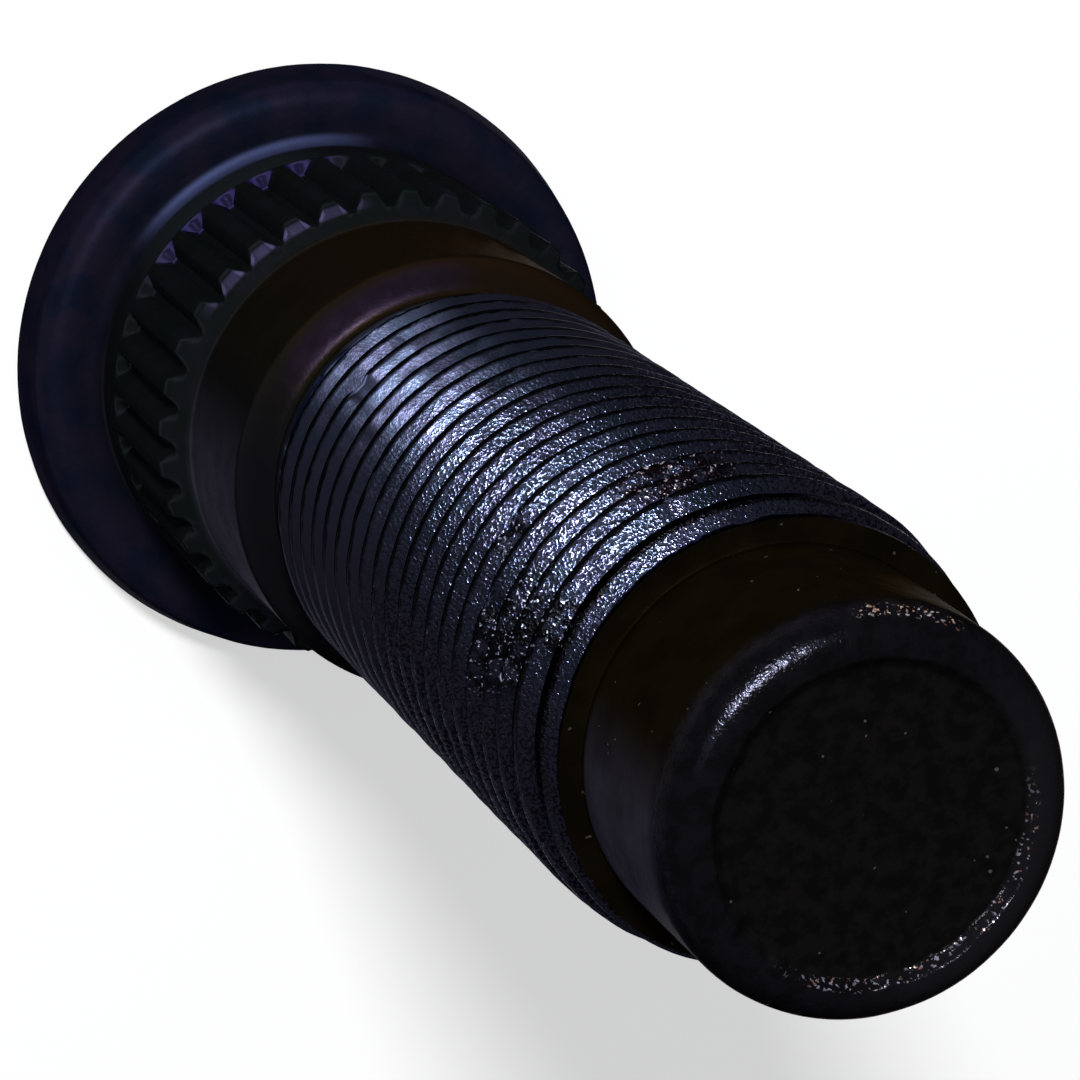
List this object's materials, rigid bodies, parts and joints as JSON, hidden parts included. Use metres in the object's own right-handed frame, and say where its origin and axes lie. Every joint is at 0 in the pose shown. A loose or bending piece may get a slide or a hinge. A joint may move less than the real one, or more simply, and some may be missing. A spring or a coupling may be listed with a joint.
{
  "type": "wheel stud",
  "caption": "Press-in wheel stud with a round head, a serrated length, a plain shoulder, a rolled metric thread and a smooth dog point.",
  "frame": {"origin": "centre of the head's outer face, where the stud's axis leaves it", "axes": "+Z along the stud's axis, from the head towards the dog point; X and Y across it"},
  "size_m": [0.0194, 0.0194, 0.0503],
  "materials": {
    "phosphated_steel": "near-black phosphate coat, oiled, with a satin sheen"
  },
  "bodies": {
    "root": {"wheel_stud": "phosphated_steel"}
  },
  "joints": []
}
